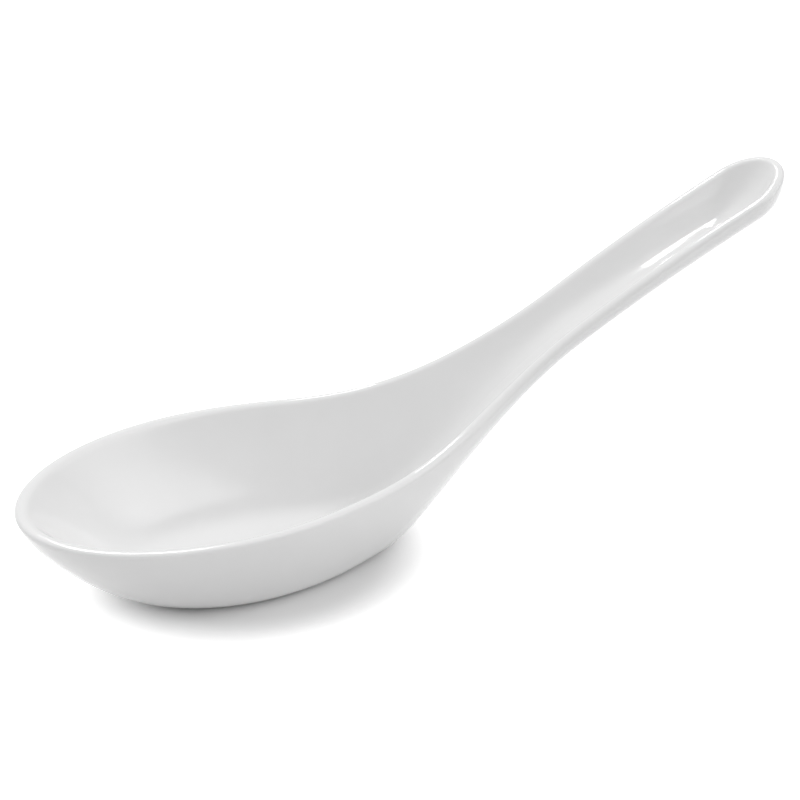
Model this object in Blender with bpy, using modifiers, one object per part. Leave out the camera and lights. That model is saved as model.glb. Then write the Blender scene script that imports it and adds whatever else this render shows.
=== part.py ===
"""Tasting spoon: a deep oval bowl on a flat foot, drawn out into a raised, channelled handle.

The real spoon is one moulding, so it is one closed skin: foot, outer wall, round lip, inner wall and floor.
One side of it is lofted between the bottom edge and the rim, and the other side is its mirror image.
Metres, +Z up, +X from the bowl to the handle. The origin is the middle of the foot, on the table.
"""
from math import acos, atan2, cos, hypot, pi, sin

import bmesh
import bpy
import numpy as np
from mathutils import Vector
from mathutils.geometry import interpolate_bezier

for leftover in list(bpy.data.objects):
    bpy.data.objects.remove(leftover, do_unlink=True)

# Lengths along the spoon
NOSE_LENGTH = 0.0342        # tip of the bowl to its widest place
SHOULDER_LENGTH = 0.0646    # widest place to the neck
HANDLE_LENGTH = 0.0403      # neck to the end of the handle
END_ROUND = 0.0080          # rounded end of the handle, along the spoon
LEVEL_LENGTH = 0.0550       # tip to the place where the rim starts to climb
TOE_SETBACK = 0.0186        # tip of the bowl to the front of the foot
FOOT_FRONT = 0.0195         # front of the foot to its widest place
FOOT_LENGTH = 0.0412        # front of the foot to the heel, where the keel starts to climb
KEEL_LENGTH = 0.0273        # heel to the place where the keel is as narrow as the underside
END_SETBACK = 0.0026        # end of the underside, in from the end of the handle
UNDERSIDE_ROUND = 0.0045    # rounded end of the underside, along the spoon

# Widths
BOWL_WIDTH = 0.0434
HANDLE_WIDTH = 0.0145
FOOT_WIDTH = 0.0267
UNDERSIDE_WIDTH = 0.0036

# Heights of the rim over the table, and slopes as rise over run
TIP_HEIGHT = 0.0158
BOWL_HEIGHT = 0.0162
NECK_HEIGHT = 0.0315
END_HEIGHT = 0.0495
HANDLE_DEPTH = 0.0060       # rim down to the underside, along the handle
NECK_SLOPE = 0.525
END_SLOPE = 0.387

# How far each curve keeps its direction at its two ends
BOWL_EASE = 0.0218
NECK_EASE = 0.0205
LIFT_EASE = 0.0176
LIFT_NECK_EASE = 0.0178
FOOT_EASE = 0.0209
UNDERSIDE_EASE = 0.0278
KEEL_EASE = 0.0114
KEEL_NECK_EASE = 0.0196

# Each of these has one value for the tip, the bowl's widest place, the neck and the end of the handle.
# The outer wall, as parts of its own run and rise: how far it runs out flat at the bottom, and how far in
# and down from the rim it still has the rim's direction
OUTER_FLAT = (0.22, 0.55, 0.55, 0.55)
OUTER_IN = (0.11, 0.22, 0.03, 0.03)
OUTER_DOWN = (0.39, 0.49, 0.58, 0.58)
# The inside: the floor's setback from the bottom edge and its thickness, how far out from the floor the
# inner wall aims, and the part of the wall that keeps the lip's direction
FLOOR_INSET = (0.0030, 0.0042, 0.0010, 0.0007)
FLOOR_WALL = (0.0020, 0.0020, 0.0020, 0.0017)
CORNER = (0.0050, 0.0042, 0.0030, 0.0028)
STRAIGHT = (0.40, 0.45, 0.45, 0.45)
# The lip: radii of its outer and inner edge, and its width
LIP_OUTER = (0.0006, 0.0006, 0.0007, 0.0006)
LIP_INNER = (0.0010, 0.0010, 0.0011, 0.0009)
LIP_WIDTH = (0.0020, 0.0020, 0.0022, 0.0018)

# Fineness of the skin: rows round the nose, along the body and round the end, rings across
NOSE_ROWS = 14
BODY_ROWS = 34
END_ROWS = 8
BOTTOM_RINGS = 2
WALL_RINGS = 7
LIP_RINGS = 3
CURVE_POINTS = 60
MERGE = 0.000002

# Part of a row over which the direction of the bottom edge and of the rim is taken
ROW_STEP = 0.01

# Places along the spoon, from the tip
LENGTH = NOSE_LENGTH + SHOULDER_LENGTH + HANDLE_LENGTH
NECK = NOSE_LENGTH + SHOULDER_LENGTH
FOOT_WIDEST = TOE_SETBACK + FOOT_FRONT
HEEL = TOE_SETBACK + FOOT_LENGTH
UNDERSIDE_START = HEEL + KEEL_LENGTH
UNDERSIDE_END = LENGTH - END_SETBACK
FOOT_MIDDLE = TOE_SETBACK + FOOT_LENGTH / 2

UP = Vector((0, 0, 1))


def sweep(start, start_ease, start_slope, end, end_ease, end_slope):
    """Points of a smooth curve between two places of a plane, each with its direction."""
    first = Vector(start) + start_ease * Vector((1, start_slope))
    second = Vector(end) - end_ease * Vector((1, end_slope))
    return interpolate_bezier(Vector(start), first, second, Vector(end), CURVE_POINTS)


def across(curve, x):
    """The second coordinate of a curve at a distance along the spoon."""
    return float(np.interp(x, [point.x for point in curve], [point.y for point in curve]))


# Plans: half widths along the body, from the widest places on
rim_plan = sweep((NOSE_LENGTH, BOWL_WIDTH / 2), BOWL_EASE, 0, (NECK, HANDLE_WIDTH / 2), NECK_EASE, 0)
bottom_plan = sweep((FOOT_WIDEST, FOOT_WIDTH / 2), FOOT_EASE, 0,
                    (UNDERSIDE_START, UNDERSIDE_WIDTH / 2), UNDERSIDE_EASE, 0)

# Side views: the rim's height from tip to end, and the keel's from the heel to the end
handle_ease = HANDLE_LENGTH / 3
nose_ease = NOSE_LENGTH / 3
nose_slope = (BOWL_HEIGHT - TIP_HEIGHT) / nose_ease
handle_rise = sweep((NECK, NECK_HEIGHT), handle_ease, NECK_SLOPE,
                    (LENGTH, END_HEIGHT), handle_ease, END_SLOPE)
rim_side = (
    sweep((0, TIP_HEIGHT), nose_ease, nose_slope, (NOSE_LENGTH, BOWL_HEIGHT), nose_ease, 0)
    + sweep((LEVEL_LENGTH, BOWL_HEIGHT), LIFT_EASE, 0, (NECK, NECK_HEIGHT), LIFT_NECK_EASE, NECK_SLOPE)
    + handle_rise[1:])
keel_side = (
    sweep((HEEL, 0), KEEL_EASE, 0, (NECK, NECK_HEIGHT - HANDLE_DEPTH), KEEL_NECK_EASE, NECK_SLOPE)
    + [point - Vector((0, HANDLE_DEPTH)) for point in handle_rise[1:]])


def edge_points(row):
    """The bottom edge and the rim at one row: round the nose, along the body, then round the end."""
    body_row = row - NOSE_ROWS
    if body_row < 0:
        turn = row / NOSE_ROWS * pi / 2
        rim = Vector((NOSE_LENGTH * (1 - cos(turn)), BOWL_WIDTH / 2 * sin(turn), 0))
        bottom = Vector((FOOT_WIDEST - FOOT_FRONT * cos(turn), FOOT_WIDTH / 2 * sin(turn), 0))
    elif body_row < BODY_ROWS:
        along = body_row / BODY_ROWS
        rim_x = NOSE_LENGTH + along * (LENGTH - END_ROUND - NOSE_LENGTH)
        bottom_x = FOOT_WIDEST + along * (UNDERSIDE_END - UNDERSIDE_ROUND - FOOT_WIDEST)
        rim = Vector((rim_x, across(rim_plan, rim_x), 0))
        bottom = Vector((bottom_x, across(bottom_plan, bottom_x), 0))
    else:
        turn = (body_row - BODY_ROWS) / END_ROWS * pi / 2
        rim_x = LENGTH - END_ROUND * (1 - sin(turn))
        bottom_x = UNDERSIDE_END - UNDERSIDE_ROUND * (1 - sin(turn))
        rim = Vector((rim_x, HANDLE_WIDTH / 2 * cos(turn), 0))
        bottom = Vector((bottom_x, UNDERSIDE_WIDTH / 2 * cos(turn), 0))
    rim.z = across(rim_side, rim.x)
    bottom.z = across(keel_side, bottom.x)
    return bottom, rim


def station_values(row, rim_x, *values):
    """Values at one row, between those of the tip, the widest place, the neck and the end."""
    place = row / NOSE_ROWS
    if row > NOSE_ROWS:
        place = float(np.interp(rim_x, (NOSE_LENGTH, NECK, LENGTH), (1, 2, 3)))
    return [float(np.interp(place, (0, 1, 2, 3), stations)) for stations in values]


def arc(middle, radius, first, last, outward, lean):
    """Points of an edge's rounding, turned from the wall's outward side to its top."""
    turns = np.linspace(first, last, LIP_RINGS + 1)
    return [middle + radius * (cos(turn) * outward + sin(turn) * lean) for turn in turns]


def skin_row(row):
    """One row of the half skin: middle of the foot, outer wall, lip, inner wall, middle of the floor."""
    bottom, rim = edge_points(row)
    bottom_before, rim_before = edge_points(row - ROW_STEP)
    bottom_after, rim_after = edge_points(row + ROW_STEP)
    outer_flat, outer_in, outer_down = station_values(row, rim.x, OUTER_FLAT, OUTER_IN, OUTER_DOWN)
    inset, thickness, corner, straight = station_values(
        row, rim.x, FLOOR_INSET, FLOOR_WALL, CORNER, STRAIGHT)
    lip_outer, lip_inner, lip_width = station_values(row, rim.x, LIP_OUTER, LIP_INNER, LIP_WIDTH)

    # Directions at the rim: along it, up the outer wall and out of the wall
    run = Vector((rim.x - bottom.x, rim.y - bottom.y, 0))
    rise = Vector((0, 0, rim.z - bottom.z))
    along = (rim_after - rim_before).normalized()
    wall_top = outer_in * run + outer_down * rise
    lean = (wall_top - wall_top.dot(along) * along).normalized()
    outward = lean.cross(along)

    # Inner floor, and the corner that the inner wall aims at
    bottom_along = (bottom_after - bottom_before).normalized()
    inward = bottom_along.cross(UP).normalized()
    floor = bottom + inset * inward + thickness * inward.cross(bottom_along)
    meeting = floor - corner * inward

    # Inner rounding of the lip, up to the place where it runs straight at that corner
    inner_middle = rim - lip_inner * lean - (lip_width - lip_inner) * outward
    fall = meeting - inner_middle
    distance = hypot(fall.dot(outward), fall.dot(lean))
    last_turn = atan2(fall.dot(lean), fall.dot(outward)) % (2 * pi) - acos(lip_inner / distance)
    inner_edge = arc(inner_middle, lip_inner, pi / 2, last_turn, outward, lean)
    outer_edge = arc(rim - lip_outer * (lean + outward), lip_outer, 0, pi / 2, outward, lean)

    # Walls, each from its own end of the lip
    outer_wall = interpolate_bezier(bottom, bottom + outer_flat * run, rim - wall_top, outer_edge[0],
                                    WALL_RINGS + 1)
    inner_wall = interpolate_bezier(inner_edge[-1], inner_edge[-1].lerp(meeting, straight), meeting, floor,
                                    WALL_RINGS + 1)
    parts_across = [ring / BOTTOM_RINGS for ring in range(BOTTOM_RINGS)]
    foot_points = [Vector((bottom.x, part * bottom.y, bottom.z)) for part in parts_across]
    floor_points = [Vector((floor.x, part * floor.y, floor.z)) for part in reversed(parts_across)]
    return foot_points + outer_wall + outer_edge[1:] + inner_edge + inner_wall[1:] + floor_points


def moulding_material():
    """White melamine moulding, polished in the mould."""
    material = bpy.data.materials.new("white_melamine")
    material.use_nodes = True
    shader = material.node_tree.nodes["Principled BSDF"]
    shader.inputs["Base Color"].default_value = (0.82, 0.82, 0.82, 1)
    shader.inputs["Roughness"].default_value = 0.12
    shader.inputs["Metallic"].default_value = 0.0
    return material


def half_skin():
    """Mesh of the skin on the side of +Y, open only along the middle plane."""
    rows = NOSE_ROWS + BODY_ROWS + END_ROWS
    skin = [skin_row(row) for row in range(rows + 1)]
    rings = len(skin[0]) - 1
    grid = bmesh.new()
    bmesh.ops.create_grid(grid, x_segments=rows, y_segments=rings, size=0.5)
    for vert in grid.verts:
        row = round((vert.co.x + 0.5) * rows)
        ring = round((vert.co.y + 0.5) * rings)
        vert.co = skin[row][ring] - Vector((FOOT_MIDDLE, 0, 0))
        if row in (0, rows):
            vert.co.y = 0
    bmesh.ops.remove_doubles(grid, verts=grid.verts, dist=MERGE)
    bmesh.ops.reverse_faces(grid, faces=grid.faces)
    mesh = bpy.data.meshes.new("moulded_spoon")
    grid.to_mesh(mesh)
    grid.free()
    mesh.shade_smooth()
    return mesh


collection = bpy.data.collections.new("tasting_spoon")
bpy.context.scene.collection.children.link(collection)
spoon = bpy.data.objects.new("moulded_spoon", half_skin())
spoon.data.materials.append(moulding_material())
collection.objects.link(spoon)

mirror = spoon.modifiers.new("other side", "MIRROR")
mirror.use_axis = (False, True, False)
mirror.use_clip = True
mirror.merge_threshold = MERGE
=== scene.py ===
"""Looks of the tasting spoon: its finished surface, a pale floor, soft studio light and the camera."""
from math import acos, atan2, cos, hypot, pi, sin

import bmesh
import bpy
import numpy as np
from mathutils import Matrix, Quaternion, Vector
from mathutils.geometry import interpolate_bezier


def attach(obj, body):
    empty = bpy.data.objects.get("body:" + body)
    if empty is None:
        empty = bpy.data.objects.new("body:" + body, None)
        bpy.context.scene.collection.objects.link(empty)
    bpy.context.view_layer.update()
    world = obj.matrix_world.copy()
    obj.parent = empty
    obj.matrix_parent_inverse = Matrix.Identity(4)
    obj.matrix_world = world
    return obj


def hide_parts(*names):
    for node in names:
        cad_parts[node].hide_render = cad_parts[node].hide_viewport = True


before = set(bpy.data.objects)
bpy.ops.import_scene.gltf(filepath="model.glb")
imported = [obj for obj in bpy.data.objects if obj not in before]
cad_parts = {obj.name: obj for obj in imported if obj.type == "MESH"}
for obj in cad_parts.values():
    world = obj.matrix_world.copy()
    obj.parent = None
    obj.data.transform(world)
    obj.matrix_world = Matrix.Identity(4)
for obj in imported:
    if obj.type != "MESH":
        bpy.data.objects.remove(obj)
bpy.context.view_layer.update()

# Spoon
# One moulding of white melamine: an oval bowl on a flat foot, drawn out into a raised, channelled handle.
# It was pressed in a polished mould, so every edge is round. Its skin runs from the outline of the foot and
# of the handle's narrow underside up a curved wall to the rim, over a round lip and down the inside.
NOSE_LENGTH = 0.0342        # tip of the bowl to its widest place
SHOULDER_LENGTH = 0.0646    # widest place to the neck
HANDLE_LENGTH = 0.0403      # neck to the end of the handle
END_ROUND = 0.0080
LEVEL_LENGTH = 0.0550       # tip to the place where the rim starts to climb
TOE_SETBACK = 0.0186        # tip of the bowl to the front of the foot
FOOT_FRONT = 0.0195         # front of the foot to its widest place
FOOT_LENGTH = 0.0412
KEEL_LENGTH = 0.0273        # heel to the place where the keel is as narrow as the underside
END_SETBACK = 0.0026        # end of the underside to the end of the rim
UNDERSIDE_ROUND = 0.0045

BOWL_WIDTH = 0.0434
HANDLE_WIDTH = 0.0145
FOOT_WIDTH = 0.0267
UNDERSIDE_WIDTH = 0.0036

TIP_HEIGHT = 0.0158
BOWL_HEIGHT = 0.0162
NECK_HEIGHT = 0.0315
END_HEIGHT = 0.0495
HANDLE_DEPTH = 0.0060
NECK_SLOPE = 0.525
END_SLOPE = 0.387

# How far each outline holds its direction before it bends away
BOWL_EASE = 0.0218
NECK_EASE = 0.0205
LIFT_EASE = 0.0176
LIFT_NECK_EASE = 0.0178
FOOT_EASE = 0.0209
UNDERSIDE_EASE = 0.0278
KEEL_EASE = 0.0114
KEEL_NECK_EASE = 0.0196

# Each of these holds at the tip, at the bowl's widest place, at the neck and at the end of the handle.
# Outer wall: how far it heads out level from the foot, as a share of its run, and from where it heads
# for the rim, as shares of its run and of its rise
OUTER_FLAT = (0.22, 0.55, 0.55, 0.55)
OUTER_IN = (0.11, 0.22, 0.03, 0.03)
OUTER_DOWN = (0.39, 0.49, 0.58, 0.58)
# Inside: the floor's edge inward of the foot's edge and the wall below it, how far outward of that edge
# floor and inner wall would meet, and the share of the way there over which the inner wall stays straight
FLOOR_INSET = (0.0030, 0.0042, 0.0017, 0.0007)
FLOOR_WALL = (0.0020, 0.0020, 0.0022, 0.0008)
CORNER = (0.0050, 0.0042, 0.0034, 0.0033)
STRAIGHT = (0.55, 0.62, 0.45, 0.45)
# Lip: the radius of its outer and inner rounding, and its width
LIP_OUTER = (0.0006, 0.0006, 0.0012, 0.0006)
LIP_INNER = (0.0020, 0.0012, 0.0010, 0.0008)
LIP_WIDTH = (0.0027, 0.0020, 0.0023, 0.0019)

FLOOR_SETBACK = 0.0090      # how far the channel's floor stops short of the end
CHANNEL_CORNER = 0.6        # part of the way from there to the lip that the inner wall aims at

NOSE_ROWS = 16
BODY_ROWS = 44
END_ROWS = 12
BOTTOM_RINGS = 3
WALL_RINGS = 9
LIP_RINGS = 4
CURVE_POINTS = 240
ROW_STEP = 0.01             # part of a row over which the direction of an edge is taken
HALF_GRID = 0.5
MERGE = 0.000002
SMOOTH_LEVELS = 2

length = NOSE_LENGTH + SHOULDER_LENGTH + HANDLE_LENGTH
neck = NOSE_LENGTH + SHOULDER_LENGTH
foot_widest = TOE_SETBACK + FOOT_FRONT
heel = TOE_SETBACK + FOOT_LENGTH
underside_start = heel + KEEL_LENGTH
underside_end = length - END_SETBACK
foot_middle = TOE_SETBACK + FOOT_LENGTH / 2
up = Vector((0, 0, 1))


def sweep(start, start_ease, start_slope, end, end_ease, end_slope):
    """Points of a smooth curve between two places of a plane, each with its direction."""
    first = Vector(start) + start_ease * Vector((1, start_slope))
    second = Vector(end) - end_ease * Vector((1, end_slope))
    return interpolate_bezier(Vector(start), first, second, Vector(end), CURVE_POINTS)


def across(curve, x):
    """The second coordinate of a curve at a distance along the spoon."""
    return float(np.interp(x, [point.x for point in curve], [point.y for point in curve]))


# Outlines from above, then from the side. An ease of a third of the stretch gives an even curve.
rim_plan = sweep((NOSE_LENGTH, BOWL_WIDTH / 2), BOWL_EASE, 0, (neck, HANDLE_WIDTH / 2), NECK_EASE, 0)
bottom_plan = sweep((foot_widest, FOOT_WIDTH / 2), FOOT_EASE, 0,
                    (underside_start, UNDERSIDE_WIDTH / 2), UNDERSIDE_EASE, 0)
handle_ease = HANDLE_LENGTH / 3
nose_ease = NOSE_LENGTH / 3
nose_slope = (BOWL_HEIGHT - TIP_HEIGHT) / nose_ease
handle_rise = sweep((neck, NECK_HEIGHT), handle_ease, NECK_SLOPE,
                    (length, END_HEIGHT), handle_ease, END_SLOPE)
rim_side = (
    sweep((0, TIP_HEIGHT), nose_ease, nose_slope, (NOSE_LENGTH, BOWL_HEIGHT), nose_ease, 0)
    + sweep((LEVEL_LENGTH, BOWL_HEIGHT), LIFT_EASE, 0, (neck, NECK_HEIGHT), LIFT_NECK_EASE, NECK_SLOPE)
    + handle_rise[1:])
keel_side = (
    sweep((heel, 0), KEEL_EASE, 0, (neck, NECK_HEIGHT - HANDLE_DEPTH), KEEL_NECK_EASE, NECK_SLOPE)
    + [point - Vector((0, HANDLE_DEPTH)) for point in handle_rise[1:]])


def edge_points(row):
    """The bottom edge and the rim at one row: round the nose, along the body, then round the end."""
    body_row = row - NOSE_ROWS
    if body_row < 0:
        turn = row / NOSE_ROWS * pi / 2
        rim = Vector((NOSE_LENGTH * (1 - cos(turn)), BOWL_WIDTH / 2 * sin(turn), 0))
        bottom = Vector((foot_widest - FOOT_FRONT * cos(turn), FOOT_WIDTH / 2 * sin(turn), 0))
    elif body_row < BODY_ROWS:
        along = body_row / BODY_ROWS
        rim_x = NOSE_LENGTH + along * (length - END_ROUND - NOSE_LENGTH)
        bottom_x = foot_widest + along * (underside_end - UNDERSIDE_ROUND - foot_widest)
        rim = Vector((rim_x, across(rim_plan, rim_x), 0))
        bottom = Vector((bottom_x, across(bottom_plan, bottom_x), 0))
    else:
        turn = (body_row - BODY_ROWS) / END_ROWS * pi / 2
        rim = Vector((length - END_ROUND * (1 - sin(turn)), HANDLE_WIDTH / 2 * cos(turn), 0))
        bottom = Vector((underside_end - UNDERSIDE_ROUND * (1 - sin(turn)),
                         UNDERSIDE_WIDTH / 2 * cos(turn), 0))
    rim.z = across(rim_side, rim.x)
    bottom.z = across(keel_side, bottom.x)
    return bottom, rim


def station_values(row, rim_x, *values):
    """Values at one row, between those of the tip, the widest place, the neck and the end."""
    place = row / NOSE_ROWS
    if row > NOSE_ROWS:
        place = float(np.interp(rim_x, (NOSE_LENGTH, neck, length), (1, 2, 3)))
    return [float(np.interp(place, (0, 1, 2, 3), stations)) for stations in values]


def arc(middle, radius, first, last, outward, lean):
    """Points of an edge's rounding, turned from the wall's outward side to its top."""
    turns = np.linspace(first, last, LIP_RINGS + 1)
    return [middle + radius * (cos(turn) * outward + sin(turn) * lean) for turn in turns]


def skin_row(row):
    """One row of the half skin: middle of the foot, outer wall, lip, inner wall, middle of the floor."""
    bottom, rim = edge_points(row)
    bottom_before, rim_before = edge_points(row - ROW_STEP)
    bottom_after, rim_after = edge_points(row + ROW_STEP)
    outer_flat, outer_in, outer_down = station_values(row, rim.x, OUTER_FLAT, OUTER_IN, OUTER_DOWN)
    inset, thickness, corner, straight = station_values(
        row, rim.x, FLOOR_INSET, FLOOR_WALL, CORNER, STRAIGHT)
    lip_outer, lip_inner, lip_width = station_values(row, rim.x, LIP_OUTER, LIP_INNER, LIP_WIDTH)

    # Directions at the rim: along it, up the outer wall and out of the wall
    run = Vector((rim.x - bottom.x, rim.y - bottom.y, 0))
    rise = Vector((0, 0, rim.z - bottom.z))
    along = (rim_after - rim_before).normalized()
    wall_top = outer_in * run + outer_down * rise
    lean = (wall_top - wall_top.dot(along) * along).normalized()
    outward = lean.cross(along)

    # Inner floor, and the corner that the inner wall aims at
    inner_middle = rim - lip_inner * lean - (lip_width - lip_inner) * outward
    handle_part = max(0, (rim.x - neck) / HANDLE_LENGTH)
    bottom_along = (bottom_after - bottom_before).normalized()
    inward = bottom_along.cross(up).normalized()
    floor = bottom + inset * inward + thickness * inward.cross(bottom_along)
    floor -= FLOOR_SETBACK * handle_part ** 2 * Vector((1, 0, END_SLOPE))
    aim = (-corner * inward).lerp(CHANNEL_CORNER * (inner_middle - floor), handle_part)
    meeting = floor + Vector((aim.x, aim.y, END_SLOPE * handle_part * aim.x))

    # Inner rounding of the lip, up to the place where it runs straight at that corner
    fall = meeting - inner_middle
    distance = hypot(fall.dot(outward), fall.dot(lean))
    last_turn = atan2(fall.dot(lean), fall.dot(outward)) % (2 * pi) - acos(lip_inner / distance)
    inner_edge = arc(inner_middle, lip_inner, pi / 2, last_turn, outward, lean)
    outer_edge = arc(rim - lip_outer * (lean + outward), lip_outer, 0, pi / 2, outward, lean)

    # Walls, each from its own end of the lip
    outer_wall = interpolate_bezier(bottom, bottom + outer_flat * run, rim - wall_top, outer_edge[0],
                                    WALL_RINGS + 1)
    inner_wall = interpolate_bezier(inner_edge[-1], inner_edge[-1].lerp(meeting, straight), meeting, floor,
                                    WALL_RINGS + 1)
    parts_across = [ring / BOTTOM_RINGS for ring in range(BOTTOM_RINGS)]
    foot_points = [Vector((bottom.x, part * bottom.y, bottom.z)) for part in parts_across]
    floor_points = [Vector((floor.x, part * floor.y, floor.z)) for part in reversed(parts_across)]
    return foot_points + outer_wall + outer_edge[1:] + inner_edge + inner_wall[1:] + floor_points


# A flat grid is laid over the half skin, row by row, then mirrored and closed
rows = NOSE_ROWS + BODY_ROWS + END_ROWS
skin = [skin_row(row) for row in range(rows + 1)]
rings = len(skin[0]) - 1
spoon_mesh = bmesh.new()
bmesh.ops.create_grid(spoon_mesh, x_segments=rows, y_segments=rings, size=HALF_GRID)
for vert in spoon_mesh.verts:
    row = round((vert.co.x + HALF_GRID) * rows)
    ring = round((vert.co.y + HALF_GRID) * rings)
    vert.co = skin[row][ring] - Vector((foot_middle, 0, 0))
    if row in (0, rows) or ring in (0, rings):
        vert.co.y = 0
bmesh.ops.mirror(spoon_mesh, geom=spoon_mesh.verts[:] + spoon_mesh.edges[:] + spoon_mesh.faces[:],
                 axis="Y", merge_dist=MERGE)
bmesh.ops.remove_doubles(spoon_mesh, verts=spoon_mesh.verts, dist=MERGE)
bmesh.ops.recalc_face_normals(spoon_mesh, faces=spoon_mesh.faces)
spoon = bpy.data.objects.new("spoon", bpy.data.meshes.new("spoon"))
spoon_mesh.to_mesh(spoon.data)
spoon_mesh.free()
spoon.data.shade_smooth()
bpy.context.scene.collection.objects.link(spoon)
smooth = spoon.modifiers.new("smooth", "SUBSURF")
smooth.levels = SMOOTH_LEVELS
smooth.render_levels = SMOOTH_LEVELS


def linear(hex_colour):
    """An sRGB hex colour as linear red, green, blue and alpha."""
    values = [int(hex_colour[i:i + 2], 16) / 255 for i in (0, 2, 4)]
    return [v / 12.92 if v <= 0.04045 else ((v + 0.055) / 1.055) ** 2.4 for v in values] + [1]


def add_node(tree, kind, settings, links):
    """Adds a node with its settings and the sockets that feed it, by name or by number."""
    made = tree.nodes.new(kind)
    for name, value in settings.items():
        if isinstance(name, int) or name in made.inputs:
            made.inputs[name].default_value = value
        else:
            setattr(made, name, value)
    for name, socket in links.items():
        tree.links.new(socket, made.inputs[name])
    return made


# White melamine: a glassy skin over a very slightly cloudy white, with the faint waviness of a polished
# mould and a foot that has been rubbed dull on tables. The scuffs are drawn coarser than real ones, so
# that they show.
CLOUDY_WHITE = "EAEAEA"
CLEAR_WHITE = "EEEEEE"
MELAMINE_IOR = 1.5
POLISHED_ROUGHNESS = 0.05
SMEARED_ROUGHNESS = 0.11
RUBBED_ROUGHNESS = 0.7
RUBBED_HEIGHT = 0.0004
CLOUD_SIZE = 0.0090
SMEAR_SIZE = 0.0140
WAVE_SIZE = 0.0070
WAVE_HEIGHT = 0.000003
SCUFF_LENGTH = 0.0050
SCUFF_WIDTH = 0.00025
melamine = bpy.data.materials.new("white_melamine")
melamine.use_nodes = True
tree = melamine.node_tree
place = add_node(tree, "ShaderNodeTexCoord", {}, {}).outputs["Object"]
clouds = add_node(tree, "ShaderNodeTexNoise", {"Scale": 1 / CLOUD_SIZE, "Detail": 3}, {"Vector": place})
white = add_node(tree, "ShaderNodeMix",
                 {"data_type": "RGBA", 6: linear(CLOUDY_WHITE), 7: linear(CLEAR_WHITE)},
                 {0: clouds.outputs["Fac"]})
smears = add_node(tree, "ShaderNodeTexNoise", {"Scale": 1 / SMEAR_SIZE, "Detail": 4}, {"Vector": place})
gloss = add_node(tree, "ShaderNodeMapRange", {"To Min": POLISHED_ROUGHNESS, "To Max": SMEARED_ROUGHNESS},
                 {"Value": smears.outputs["Fac"]})
grain = add_node(tree, "ShaderNodeVectorMath",
                 {"operation": "MULTIPLY", 1: (1 / SCUFF_LENGTH, 1 / SCUFF_WIDTH, 1 / SCUFF_LENGTH)},
                 {0: place})
scuffs = add_node(tree, "ShaderNodeTexNoise", {"Scale": 1, "Detail": 2}, {"Vector": grain.outputs["Vector"]})
height = add_node(tree, "ShaderNodeSeparateXYZ", {}, {"Vector": place})
rubbed = add_node(tree, "ShaderNodeMapRange",
                  {"From Min": RUBBED_HEIGHT, "From Max": 0, "To Max": RUBBED_ROUGHNESS},
                  {"Value": height.outputs["Z"]})
rough = add_node(tree, "ShaderNodeMath", {"operation": "MULTIPLY_ADD"},
                 {0: scuffs.outputs["Fac"], 1: rubbed.outputs["Result"], 2: gloss.outputs["Result"]})
waves = add_node(tree, "ShaderNodeTexNoise", {"Scale": 1 / WAVE_SIZE, "Detail": 1}, {"Vector": place})
surface = add_node(tree, "ShaderNodeBump", {"Distance": WAVE_HEIGHT}, {"Height": waves.outputs["Fac"]})
shader = tree.nodes["Principled BSDF"]
shader.inputs["IOR"].default_value = MELAMINE_IOR
tree.links.new(white.outputs[2], shader.inputs["Base Color"])
tree.links.new(rough.outputs["Value"], shader.inputs["Roughness"])
tree.links.new(surface.outputs["Normal"], shader.inputs["Normal"])
spoon.data.materials.append(melamine)
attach(spoon, "root")
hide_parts("moulded_spoon")

# Floor
# A plain white paper sheet that the spoon stands on, wide enough to send light back up at it. What is seen
# of it glows white, a painted light that covers the spoon's shade on the sheet, except in an oval close to
# the foot, where the shade is kept but its outline is painted.
FLOOR_SIZE = 3.0
PAPER_WHITE = "E8E8E8"
PAPER_ROUGHNESS = 0.9
SHADE_MIDDLE = (0.001, -0.006, 0)
SHADE_SIZE = (0.017, 0.013, 1)          # half the oval's length and width
SHADE_REACH = 2.2                       # times that size, where the sheet is lifted in full
SHEET_LIFT = 0.90
floor_mesh = bmesh.new()
bmesh.ops.create_grid(floor_mesh, x_segments=1, y_segments=1, size=FLOOR_SIZE / 2)
floor = bpy.data.objects.new("floor", bpy.data.meshes.new("floor"))
floor_mesh.to_mesh(floor.data)
floor_mesh.free()
bpy.context.scene.collection.objects.link(floor)
paper = bpy.data.materials.new("white_paper")
paper.use_nodes = True
tree = paper.node_tree
rays = add_node(tree, "ShaderNodeLightPath", {}, {}).outputs
mirrored = add_node(tree, "ShaderNodeMath", {"operation": "MAXIMUM"},
                    {0: rays["Is Glossy Ray"], 1: rays["Is Transmission Ray"]})
seen = add_node(tree, "ShaderNodeMath", {"operation": "MAXIMUM"},
                {0: mirrored.outputs["Value"], 1: rays["Is Camera Ray"]})
place = add_node(tree, "ShaderNodeTexCoord", {}, {}).outputs["Object"]
# painted shade outline: only inside this oval does the sheet keep the spoon's shade
oval = add_node(tree, "ShaderNodeMapping",
                {"vector_type": "TEXTURE", "Location": SHADE_MIDDLE, "Scale": SHADE_SIZE}, {"Vector": place})
away = add_node(tree, "ShaderNodeVectorMath", {"operation": "LENGTH"}, {0: oval.outputs["Vector"]})
# painted light: a glow that lifts the seen sheet to white outside the oval and hides the spoon's shade there
lift = add_node(tree, "ShaderNodeMapRange",
                {"interpolation_type": "SMOOTHSTEP", "From Min": 1, "From Max": SHADE_REACH,
                 "To Max": SHEET_LIFT},
                {"Value": away.outputs["Value"]})
glow = add_node(tree, "ShaderNodeMath", {"operation": "MULTIPLY"},
                {0: seen.outputs["Value"], 1: lift.outputs["Result"]})
sheet = tree.nodes["Principled BSDF"]
sheet.inputs["Base Color"].default_value = linear(PAPER_WHITE)
sheet.inputs["Roughness"].default_value = PAPER_ROUGHNESS
sheet.inputs["Specular IOR Level"].default_value = 0
sheet.inputs["Emission Color"].default_value = (1, 1, 1, 1)
tree.links.new(glow.outputs["Value"], sheet.inputs["Emission Strength"])
floor.data.materials.append(paper)

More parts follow.
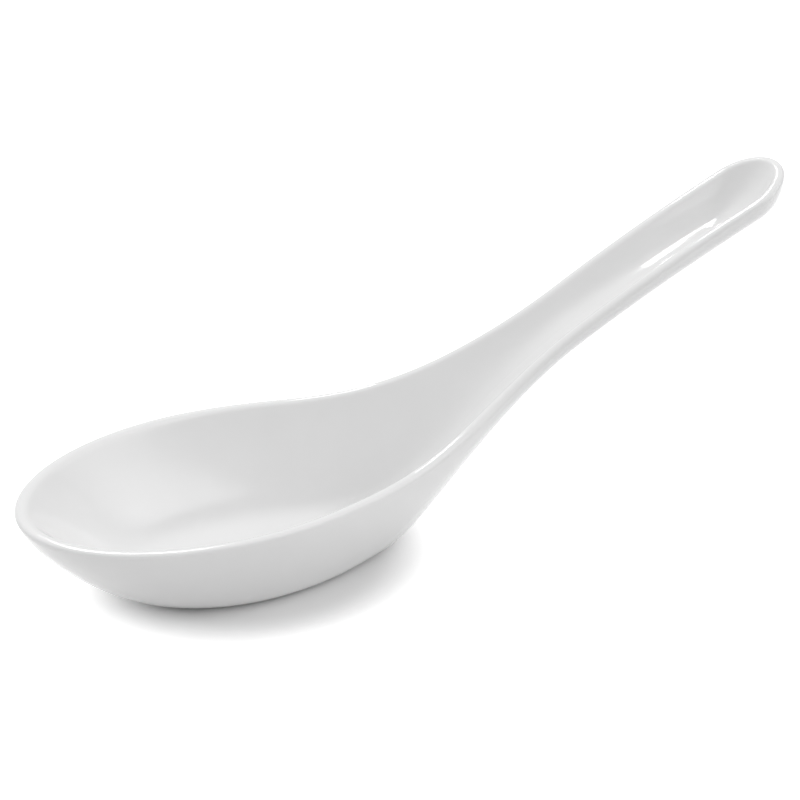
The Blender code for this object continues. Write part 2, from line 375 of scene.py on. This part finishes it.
# Light
# A white tent, brighter behind, above and on the left. A soft window in its right front makes the pale patch
# in the bowl. Behind hang a softbox and, lower, a narrow strip lamp, which draw the bright lines on the lip
# and in the channel.
TENT_LEVEL = 0.495
TENT_TILT = (-0.330, 0.290, 0.220)      # change of the level toward +X, +Y and +Z
WINDOW_LEVEL = 2.05
WINDOW_MIDDLE = (0.601, -0.541, 0.588)
WINDOW_REACH = 0.8                      # cosine of the angle from its middle to its edge
WINDOW_SIDE = (0.45, 0.37, 0.82)        # side of its one straight edge on which the window lies
SIDE_FADE = 0.2                         # softness of that edge
SOFTBOX_PLACE = (0.131, 0.456, 0.583)
SOFTBOX_SIZE = (0.190, 0.160)
STRIP_PLACE = (0.125, 0.565, 0.472)
STRIP_SIZE = (0.060, 0.020)
LAMP_AIM = Vector((0.03, 0, 0.02))
LAMP_ROLL = -0.1
LAMP_LEVEL = 12                         # brightness of a lamp's face, where 1 is white
world = bpy.data.worlds.new("tent")
bpy.context.scene.world = world
world.use_nodes = True
tree = world.node_tree
view = add_node(tree, "ShaderNodeTexCoord", {}, {}).outputs["Generated"]
tilt = add_node(tree, "ShaderNodeVectorMath", {"operation": "DOT_PRODUCT", 1: TENT_TILT}, {0: view})
tent = add_node(tree, "ShaderNodeMath", {"operation": "ADD", "use_clamp": True, 1: TENT_LEVEL},
                {0: tilt.outputs["Value"]})
to_window = add_node(tree, "ShaderNodeVectorMath", {"operation": "DOT_PRODUCT", 1: WINDOW_MIDDLE}, {0: view})
window = add_node(tree, "ShaderNodeMapRange",
                  {"interpolation_type": "SMOOTHSTEP", "From Min": WINDOW_REACH, "To Max": WINDOW_LEVEL},
                  {"Value": to_window.outputs["Value"]})
to_side = add_node(tree, "ShaderNodeVectorMath", {"operation": "DOT_PRODUCT", 1: WINDOW_SIDE}, {0: view})
side = add_node(tree, "ShaderNodeMapRange", {"interpolation_type": "SMOOTHSTEP", "From Max": SIDE_FADE},
                {"Value": to_side.outputs["Value"]})
light = add_node(tree, "ShaderNodeMath", {"operation": "MULTIPLY_ADD"},
                 {0: window.outputs["Result"], 1: side.outputs["Result"], 2: tent.outputs["Value"]})
tree.nodes["Background"].inputs["Color"].default_value = (1, 1, 1, 1)
tree.links.new(light.outputs["Value"], tree.nodes["Background"].inputs["Strength"])

# Both lamps light the spoon alone, so the sheet keeps only the shade under the bowl
lit_by_lamps = bpy.data.collections.new("lit_by_lamps")
lit_by_lamps.objects.link(spoon)
for name, place, size in (("softbox", SOFTBOX_PLACE, SOFTBOX_SIZE), ("strip", STRIP_PLACE, STRIP_SIZE)):
    lamp = bpy.data.objects.new(name, bpy.data.lights.new(name, "AREA"))
    lamp.data.shape = "RECTANGLE"
    lamp.data.size, lamp.data.size_y = size
    lamp.data.energy = LAMP_LEVEL * pi * size[0] * size[1]
    lamp.location = place
    facing = (lamp.location - LAMP_AIM).to_track_quat("Z", "Y")
    lamp.rotation_euler = (facing @ Quaternion((0, 0, 1), LAMP_ROLL)).to_euler()
    lamp.light_linking.receiver_collection = lit_by_lamps
    bpy.context.scene.collection.objects.link(lamp)

# Camera
# A long lens at the photograph's viewing angle: in front of the spoon, toward the bowl's tip and about
# 30 degrees up. Angle, distance, lens and aim were fitted together with the spoon's outline.
VIEW_AZIMUTH = -27.03
VIEW_ELEVATION = 29.6
VIEW_DISTANCE = 0.6931
VIEW_AIM = Vector((0.02853, 0, 0.02175))
LENS = 189.94
azimuth = VIEW_AZIMUTH * pi / 180
elevation = VIEW_ELEVATION * pi / 180
back = Vector((sin(azimuth) * cos(elevation), -cos(azimuth) * cos(elevation), sin(elevation)))
camera = bpy.data.objects.new("camera", bpy.data.cameras.new("camera"))
camera.data.lens = LENS
camera.location = VIEW_AIM + VIEW_DISTANCE * back
camera.rotation_euler = (-back).to_track_quat("-Z", "Y").to_euler()
bpy.context.scene.collection.objects.link(camera)
bpy.context.scene.camera = camera
bpy.context.scene.view_settings.view_transform = "Standard"
